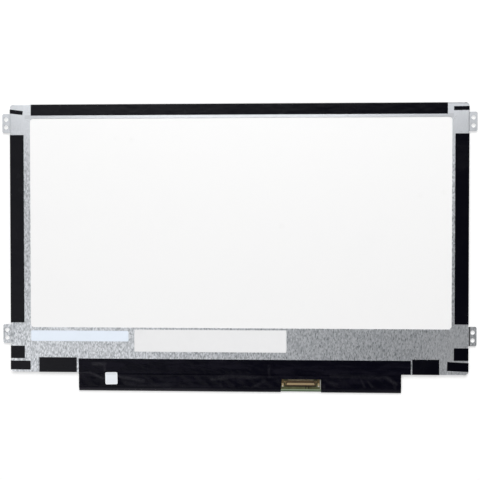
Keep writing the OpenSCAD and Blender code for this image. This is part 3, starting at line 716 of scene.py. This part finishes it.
def new_piece(name, points, faces, material):
    mesh = bpy.data.meshes.new(name)
    mesh.from_pydata([Vector(p) * MM for p in points], [], faces)
    mesh.materials.append(material)
    mesh.update()
    piece = bpy.data.objects.new(name, mesh)
    bpy.context.scene.collection.objects.link(piece)
    return piece


def baked(piece):
    """Turns a piece with a modifier into a plain mesh."""
    bpy.context.view_layer.update()
    seen = piece.evaluated_get(bpy.context.evaluated_depsgraph_get())
    mesh = bpy.data.meshes.new_from_object(seen)
    piece.modifiers.clear()
    old = piece.data
    piece.data = mesh
    mesh.name = piece.name
    bpy.data.meshes.remove(old)


def unit(v):
    size = math.hypot(*v)
    return (v[0] / size, v[1] / size)


ARC_STEP = 0.2


def rounded_line(points, radii):
    """The points of a line whose corners are rounded."""
    line = [points[0]]
    for before, corner, after, radius in zip(points, points[1:], points[2:], radii[1:]):
        if not radius:
            line.append(corner)
            continue
        u = unit((before[0] - corner[0], before[1] - corner[1]))
        v = unit((after[0] - corner[0], after[1] - corner[1]))
        half = math.acos(max(-1, min(1, u[0] * v[0] + u[1] * v[1]))) / 2
        middle = unit((u[0] + v[0], u[1] + v[1]))
        centre = (corner[0] + middle[0] * radius / math.sin(half),
                  corner[1] + middle[1] * radius / math.sin(half))
        reach = radius / math.tan(half)
        start = (corner[0] + u[0] * reach - centre[0], corner[1] + u[1] * reach - centre[1])
        end = (corner[0] + v[0] * reach - centre[0], corner[1] + v[1] * reach - centre[1])
        begin = math.atan2(start[1], start[0])
        turn = (math.atan2(end[1], end[0]) - begin + 3 * math.pi) % (2 * math.pi) - math.pi
        count = max(3, round(abs(turn) * radius / ARC_STEP))
        line += [(centre[0] + radius * math.cos(begin + turn * i / count),
                  centre[1] + radius * math.sin(begin + turn * i / count)) for i in range(count + 1)]
    line.append(points[-1])
    return line


# Cover film: a sheet that follows the film's line and shows the parts and creases under it

FILM_T = 0.1
FILM_LEFT, FILM_RIGHT, FILM_STEP_RIGHT = -93.45, 95.5, 101.0
NOTCH_LEFT, NOTCH_RIGHT, NOTCH_TOP, NOTCH_FLARE = 26.2, 49.1, BOTTOM - 3.15, 0.7
FILM_LOW = -91.5
BOARD_LOW = -91.1
BOARD_BEND = -90.6
FILM_CREST = 2.5
FILM_FRONT = 0.48
FILM_TAIL = 0.15
RIDGE_LIMIT, RIDGE_LIMIT_ON_STEEL = 0.3, 0.07
ROW_STEP, ROW_STEP_FRONT = 0.42, 0.8

# Columns of faces: left of the notch, across it, right of it, and on the step at the right
FILM_COLUMNS = [200, 40, 80, 10]

# Flat place on the film under the square label: middle and half sizes
FLAT_X, FLAT_Y, FLAT_HALF_X, FLAT_HALF_Y = -74.1, -84.05, 5.0, 4.8

# Creases: from, to, height, width
CREASES = [
    ((-84.9, -75.4), (-77.8, -75.4), 0.20, 0.8),
    ((-78.2, -75.8), (-77.8, -79.4), 0.14, 0.6),
    ((-92.6, -81.3), (-87.2, -80.6), 0.16, 0.6),
    ((-87.2, -80.6), (-79.2, -84.0), 0.20, 0.6),
    ((-69.5, -82.9), (-54.9, -85.3), 0.15, 0.7),
    ((-66.0, -86.6), (-60.0, -87.6), 0.08, 0.7),
    ((-14.9, -84.0), (-3.2, -82.2), 0.11, 0.9),
    ((-3.2, -82.2), (12.6, -82.7), 0.11, 0.8),
    ((18.9, -75.8), (18.9, -82.6), 0.07, 0.6),
    ((-58.0, -88.4), (-40.0, -87.6), 0.06, 0.8),
    ((9.0, -88.6), (16.0, -85.0), 0.08, 0.7),
    ((51.1, -84.0), (58.0, -86.8), 0.06, 0.8),
    ((50.8, -86.8), (51.2, -90.2), 0.07, 0.6),
    ((55.0, -81.6), (87.0, -82.4), 0.08, 0.9),
    ((87.0, -82.4), (92.4, -86.1), 0.14, 0.8),
    ((72.4, -83.8), (74.6, -88.2), 0.08, 0.5),
    ((76.4, -84.8), (78.9, -87.8), 0.08, 0.5),
    ((91.6, -86.4), (92.4, -90.0), 0.07, 0.7),
]

# A crease's painted highlight against its ridge: how much wider, and how strong for its height
CREASE_REACH, CREASE_SHOW = 2.2, 3.6

# Parts that press on the film: middle, half sizes, height
BUMPS = [(-5, -86.1, 3.6, 3.4, 0.14), (-28, -85.6, 2.1, 2.0, 0.08), (-38, -86.1, 2.1, 2.0, 0.13),
         (-84, -86.1, 1.8, 1.7, 0.12), (60.3, -84.1, 4.0, 1.0, 0.12), (-44.8, -88.0, 3.8, 0.9, 0.1)]


def clamped(value):
    return max(0.0, min(1.0, value))


def crease_height(x, y, start, end, height, width):
    """Height of one crease's ridge here; it tapers to both ends."""
    along = (end[0] - start[0], end[1] - start[1])
    share = ((x - start[0]) * along[0] + (y - start[1]) * along[1]) / (along[0] ** 2 + along[1] ** 2)
    inside = clamped(share)
    away = math.hypot(x - start[0] - inside * along[0], y - start[1] - inside * along[1])
    taper = math.sin(math.pi * (0.12 + 0.76 * inside))
    return height * taper * math.exp(-(away / width) ** 2)


def film_relief(x, y):
    """How far the film stands off its line, over the board."""
    pressed = 0.0
    for mx, my, hx, hy, height in BUMPS:
        dx = max(0.0, abs(x - mx) - hx)
        dy = max(0.0, abs(y - my) - hy)
        pressed = max(pressed, height * math.exp(-(dx * dx + dy * dy) / 0.8))
    sag = 0.035 * (math.sin(x * 0.31) + math.sin(x * 0.83 + y * 0.9)) - 0.1
    over_board = clamped((BOTTOM - 0.3 - y) / 1.9) * clamped((y - BOARD_BEND) / 1.6)
    off_flat = max(abs(x - FLAT_X) / FLAT_HALF_X, abs(y - FLAT_Y) / FLAT_HALF_Y)
    under_label = max(0.0, 1 - off_flat ** 6)
    loose = (sag + pressed) * over_board * (1 - under_label)
    limit = RIDGE_LIMIT_ON_STEEL if y > BOTTOM - 0.4 else RIDGE_LIMIT
    ridges = min(sum(crease_height(x, y, *c) for c in CREASES), limit)
    return loose + ridges * (1 - under_label)


def film_rows():
    """The film's section from the steel over the board and round to the front, cut into short steps."""
    line = rounded_line(
        [(BOTTOM + 8.15, BACK), (BOTTOM - 0.1, BACK), (BOTTOM - 1.3, FILM_CREST),
         (BOARD_LOW + 2.2, FILM_CREST), (FILM_LOW, BOARD_BACK + 0.1), (FILM_LOW, FILM_FRONT),
         (BOTTOM + 2.6, FILM_FRONT), (BOTTOM + 3.4, FILM_TAIL), (BOTTOM + 6.8, FILM_TAIL)],
        [0, 0.5, 0.5, 1.5, 0.6, 0.2, 0.4, 0.4, 0])
    stops = [(BOTTOM, "rear"), (NOTCH_TOP, "rear"), (BOARD_LOW, "front")]
    rows = [line[0]]
    for a, b in zip(line, line[1:]):
        front = (a[1] + b[1]) / 2 < 0.7
        step = ROW_STEP_FRONT if front else ROW_STEP
        steps = max(1, math.ceil(math.hypot(b[0] - a[0], b[1] - a[1]) / step))
        shares = {i / steps for i in range(1, steps + 1)}
        for y, which in stops:
            if (which == "front") == front and min(a[0], b[0]) + 1e-6 < y < max(a[0], b[0]) - 1e-6:
                shares.add((y - a[0]) / (b[0] - a[0]))
        rows += [(a[0] + (b[0] - a[0]) * s, a[1] + (b[1] - a[1]) * s) for s in sorted(shares)]
    return rows


def film_columns(y):
    """Where the film's columns stand at this height; the notch flares downwards."""
    flare = NOTCH_FLARE * max(0.0, (NOTCH_TOP - y) / (NOTCH_TOP - FILM_LOW))
    knots = [FILM_LEFT, NOTCH_LEFT - flare, NOTCH_RIGHT, FILM_RIGHT, FILM_STEP_RIGHT]
    columns = [knots[0]]
    for low, high, count in zip(knots, knots[1:], FILM_COLUMNS):
        columns += [low + (high - low) * i / count for i in range(1, count + 1)]
    return columns


def cover_film(material):
    rows = film_rows()
    points, faces, index = [], [], {}
    for r, (y, z) in enumerate(rows):
        before, after = rows[max(r - 1, 0)], rows[min(r + 1, len(rows) - 1)]
        way = unit((after[0] - before[0], after[1] - before[1]))
        outward = (way[1], -way[0])
        for c, x in enumerate(film_columns(y)):
            lift = film_relief(x, y) if z > 0.95 else 0.0
            index[r, c] = len(points)
            points.append((x, y + outward[0] * lift, z + outward[1] * lift))
    cut_from, cut_to = FILM_COLUMNS[0], sum(FILM_COLUMNS[:2])
    step_from = sum(FILM_COLUMNS[:3])
    for r in range(len(rows) - 1):
        y = (rows[r][0] + rows[r + 1][0]) / 2
        rear = (rows[r][1] + rows[r + 1][1]) / 2 > 0.55
        for c in range(sum(FILM_COLUMNS)):
            if cut_from <= c < cut_to and ((rear and y < NOTCH_TOP) or y < BOARD_LOW):
                continue
            if c >= step_from and not (rear and y > BOTTOM):
                continue
            faces.append((index[r, c], index[r + 1, c], index[r + 1, c + 1], index[r, c + 1]))
    kept = sorted({i for f in faces for i in f})
    order = {old: new for new, old in enumerate(kept)}
    film = new_piece("board_cover_film_sheet", [points[i] for i in kept],
                     [tuple(order[i] for i in f) for f in faces], material)
    solid = film.modifiers.new("thickness", "SOLIDIFY")
    solid.thickness = FILM_T * MM
    solid.offset = 1.0
    solid.use_even_offset = True
    baked(film)
    for polygon in film.data.polygons:
        polygon.use_smooth = True
    film.data.set_sharp_from_angle(angle=math.radians(50))
    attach(film, "root")
    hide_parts("board_cover_film")


cover_film(film_finish())


# Rows of small repeated shapes

def row_tree(name, shape):
    """A tree that puts one small shape on every point of a mesh, sized by the point's own size."""
    tree = bpy.data.node_groups.new(name, "GeometryNodeTree")
    face = tree.interface
    face.new_socket(name="Geometry", in_out="INPUT", socket_type="NodeSocketGeometry")
    for label, start in (("Width", 1.0), ("Length", 1.0), ("Height", 1.0), ("Vary", 0.0)):
        face.new_socket(name=label, in_out="INPUT", socket_type="NodeSocketFloat").default_value = start
    face.new_socket(name="Seed", in_out="INPUT", socket_type="NodeSocketInt").default_value = 3
    face.new_socket(name="Material", in_out="INPUT", socket_type="NodeSocketMaterial")
    face.new_socket(name="Geometry", in_out="OUTPUT", socket_type="NodeSocketGeometry")
    w = Wires(tree)
    given = w.add("NodeGroupInput").outputs
    size = w.add("ShaderNodeCombineXYZ",
                 {0: given["Width"], 1: given["Length"], 2: given["Height"]}).outputs[0]
    if shape == "block":
        solid = w.add("GeometryNodeMeshCube", {"Size": (1, 1, 1)}).outputs[0]
    else:
        solid = w.add("GeometryNodeMeshUVSphere", {"Segments": 8, "Rings": 5, "Radius": 0.5}).outputs[0]
        solid = w.add("GeometryNodeSetShadeSmooth", {0: solid}).outputs[0]
    shaped = w.add("GeometryNodeTransform", {"Geometry": solid, "Scale": size}).outputs[0]
    chance = w.add("FunctionNodeRandomValue", data_type="FLOAT")
    low, high = [s for s in chance.inputs if s.type == "VALUE"][:2]
    w.feed(low, w.math("SUBTRACT", 1.0, given["Vary"]))
    w.feed(high, w.math("ADD", 1.0, given["Vary"]))
    w.feed(chance.inputs["Seed"], given["Seed"])
    factor = [s for s in chance.outputs if s.type == "VALUE"][0]
    own = w.add("GeometryNodeInputNamedAttribute", {"Name": "own_size"}, data_type="FLOAT_VECTOR")
    own_size = [s for s in own.outputs if s.type == "VECTOR"][0]
    laid = w.add("GeometryNodeInstanceOnPoints", {"Points": given["Geometry"], "Instance": shaped,
                 "Scale": w.scaled(own_size, factor)}).outputs[0]
    real = w.add("GeometryNodeRealizeInstances", {0: laid}).outputs[0]
    dressed = w.add("GeometryNodeSetMaterial",
                    {"Geometry": real, "Material": given["Material"]}).outputs[0]
    w.feed(w.add("NodeGroupOutput").inputs[0], dressed)
    return tree


BLOCK_ROW = row_tree("Blocks on points", "block")
DROP_ROW = row_tree("Drops on points", "drop")


def laid_row(name, tree, spots, sizes, material, vary=0.0, seed=3):
    """Lays a shape of the tree at each spot, with its own size in millimetres."""
    piece = new_piece(name, spots, [], material)
    own = piece.data.attributes.new("own_size", "FLOAT_VECTOR", "POINT")
    for item, size in zip(own.data, sizes):
        item.vector = Vector(size)
    modifier = piece.modifiers.new("row", "NODES")
    modifier.node_group = tree
    ids = {s.name: s.identifier for s in tree.interface.items_tree if s.in_out == "INPUT"}
    for label in ("Width", "Length", "Height"):
        modifier[ids[label]] = MM
    modifier[ids["Vary"]] = vary
    modifier[ids["Seed"]] = seed
    modifier[ids["Material"]] = material
    baked(piece)
    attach(piece, "root")


def loose_boxes(name):
    """The box of each separate solid in a CAD node, in millimetres."""
    mesh = nodes[name].data
    key = [tuple(round(c / MM, 3) for c in v.co) for v in mesh.vertices]
    parent = {}

    def root(k):
        while parent[k] != k:
            parent[k] = parent[parent[k]]
            k = parent[k]
        return k

    for k in key:
        parent.setdefault(k, k)
    for polygon in mesh.polygons:
        first = root(key[polygon.vertices[0]])
        for i in polygon.vertices[1:]:
            parent[root(key[i])] = first
    solids = {}
    for k in set(key):
        solids.setdefault(root(k), []).append(k)
    return [([min(p[i] for p in ps) for i in range(3)], [max(p[i] for p in ps) for i in range(3)])
            for ps in solids.values()]


def end_caps():
    """Tinned ends on each capacitor and resistor."""
    share, proud, past_end = 0.24, 0.05, 0.03
    spots, sizes = [], []
    for name in ("board_capacitors", "board_resistors"):
        for low, high in loose_boxes(name):
            long_axis = 1 if high[1] - low[1] > high[0] - low[0] else 0
            for end in (low[long_axis], high[long_axis]):
                middle = [(a + b) / 2 for a, b in zip(low, high)]
                size = [b - a + proud for a, b in zip(low, high)]
                size[long_axis] = (high[long_axis] - low[long_axis]) * share
                way = 1 if end == low[long_axis] else -1
                middle[long_axis] = end + (size[long_axis] / 2 - past_end) * way
                middle[2] += 0.02
                spots.append(middle)
                sizes.append(size)
    laid_row("tinned_end_caps", BLOCK_ROW, spots, sizes, terminal_finish())


def contact_solder(material):
    """A drop of solder where each contact's tail meets the board, and larger ones on the lugs."""
    contacts, pitch = 30, 0.5
    spots = [(CONNECTOR_X + (i - (contacts - 1) / 2) * pitch, CONNECTOR_MOUTH + 3.82, BOARD_BACK + 0.05)
             for i in range(contacts)]
    sizes = [(0.26, 0.5, 0.16)] * contacts
    for side in (-1, 1):
        for y in (-0.35, 4.3):
            spots.append((CONNECTOR_X + side * 10.5, CONNECTOR_MOUTH + y, BOARD_BACK + 0.08))
            sizes.append((1.25, 0.9, 0.22))
    laid_row("contact_solder", DROP_ROW, spots, sizes, material, 0.12, 5)


def diode_windows():
    """The phosphor that fills each diode's window."""
    spots, sizes = [], []
    for low, high in loose_boxes("backlight_leds"):
        spots.append(((low[0] + high[0]) / 2, high[1] - 0.16, (low[2] + high[2]) / 2))
        sizes.append((high[0] - low[0] - 0.84, 0.2, high[2] - low[2] - 0.34))
    laid_row("diode_windows", BLOCK_ROW, spots, sizes, glow_finish())


def board_vias(material):
    """Plated vias that show as small tinned domes in the board's mask."""
    chance = random.Random(11)
    count, left, length = 64, -90, 182
    spots, sizes = [], []
    for i in range(count):
        x = left + length * (i + chance.uniform(0.1, 0.9)) / count
        y = chance.uniform(-90.2, -82)
        if abs(x - CONNECTOR_X) < 12:
            continue
        spots.append((x, y, BOARD_BACK))
        sizes.append((0.42, 0.42, 0.06))
    laid_row("board_vias", DROP_ROW, spots, sizes, material, 0.15, 7)


solder = metal_finish("solder_grey", (0.6, 0.6, 0.58), (0.42, 0.42, 0.4), 0.25, 0.3)
end_caps()
contact_solder(solder)
diode_windows()
board_vias(solder)


# Floor, light and camera

FLOOR_LEVEL = -0.1
FLOOR_RADIUS = 1200
WALL_BEND = 500
WALL_TOP = 1000
LAMP_SIZE = 0.8

# Fitted camera: focal length and photograph's width in pixels, sensor in millimetres
FOCAL, PHOTO_WIDTH, SENSOR = 1150, 480, 36


def white_floor():
    """Floor and backdrop in one bowl; it shows white to the camera and keeps the shadow."""
    material = bpy.data.materials.new("backdrop_white")
    material.use_nodes = True
    w = Wires(material.node_tree)
    shader = material.node_tree.nodes["Principled BSDF"]
    shader.inputs["Base Color"].default_value = (0.6, 0.6, 0.6, 1)
    shader.inputs["Roughness"].default_value = 1.0
    shader.inputs["Specular IOR Level"].default_value = 0.0
    shader.inputs["Emission Color"].default_value = (1, 1, 1, 1)
    path = w.add("ShaderNodeLightPath").outputs
    seen = path["Is Camera Ray"]
    for ray in ("Is Glossy Ray", "Is Transmission Ray"):
        seen = w.math("MAXIMUM", seen, path[ray])
    w.feed(shader.inputs["Emission Strength"], w.times(seen, 0.48))
    clear = w.add("ShaderNodeBsdfTransparent").outputs[0]
    behind = w.add("ShaderNodeNewGeometry").outputs["Backfacing"]
    mixed = w.add("ShaderNodeMixShader", {0: behind, 1: shader.outputs[0], 2: clear}).outputs[0]
    w.feed(material.node_tree.nodes["Material Output"].inputs["Surface"], mixed)
    profile = [(FLOOR_RADIUS + WALL_BEND * math.sin(a), WALL_BEND - (WALL_BEND - FLOOR_LEVEL) * math.cos(a))
               for a in [math.radians(9 * i) for i in range(11)]]
    profile.append((FLOOR_RADIUS + WALL_BEND, WALL_TOP))
    turns = 96
    points = [(r * math.cos(2 * math.pi * t / turns), r * math.sin(2 * math.pi * t / turns), z)
              for r, z in profile for t in range(turns)]
    points.append((0, 0, FLOOR_LEVEL))
    middle = len(points) - 1
    faces = [(middle, t, (t + 1) % turns) for t in range(turns)]
    for ring in range(len(profile) - 1):
        for t in range(turns):
            a, b = ring * turns + t, ring * turns + (t + 1) % turns
            faces.append((a, a + turns, b + turns, b))
    floor = new_piece("studio_floor", points, faces, material)
    for polygon in floor.data.polygons:
        polygon.use_smooth = True


def soft_light(name, place, power):
    """A square lamp that looks at the origin."""
    lamp = bpy.data.lights.new(name, "AREA")
    lamp.shape = "SQUARE"
    lamp.size = LAMP_SIZE
    lamp.energy = power
    holder = bpy.data.objects.new(name, lamp)
    holder.location = place
    holder.rotation_euler = (-Vector(place)).to_track_quat("-Z", "Y").to_euler()
    bpy.context.scene.collection.objects.link(holder)


def studio_light():
    world = bpy.data.worlds.new("studio")
    world.use_nodes = True
    backdrop = world.node_tree.nodes["Background"].inputs
    backdrop["Color"].default_value = (1, 1, 1, 1)
    backdrop["Strength"].default_value = 0.24
    bpy.context.scene.world = world
    soft_light("soft_key", (0.14, 0.9, 1.19), 10.2)
    soft_light("upper_key", (-0.1, 0.63, 1.36), 8.4)
    soft_light("low_left_fill", (-0.45, -0.57, 1.31), 2.6)


def photo_camera():
    """The photograph's camera, from the fit of the panel's corners and holes."""
    turn = (Matrix.Rotation(math.radians(-0.08), 3, "Z") @ Matrix.Rotation(math.radians(-3.43), 3, "Y")
            @ Matrix.Rotation(math.radians(1.48), 3, "X"))
    body_middle = Vector((0, (TOP + BOTTOM) / 2, 0))
    place = body_middle - turn.transposed() @ Vector((-1.64, 0.73, -673.46))
    camera = bpy.data.cameras.new("photo_camera")
    camera.sensor_width = SENSOR
    camera.lens = FOCAL / PHOTO_WIDTH * SENSOR
    camera.clip_start = 0.01
    camera.clip_end = 20
    holder = bpy.data.objects.new("photo_camera", camera)
    holder.matrix_world = Matrix.Translation(place * MM) @ turn.transposed().to_4x4()
    bpy.context.scene.collection.objects.link(holder)
    bpy.context.scene.camera = holder


white_floor()
studio_light()
photo_camera()
bpy.context.scene.view_settings.view_transform = "Standard"
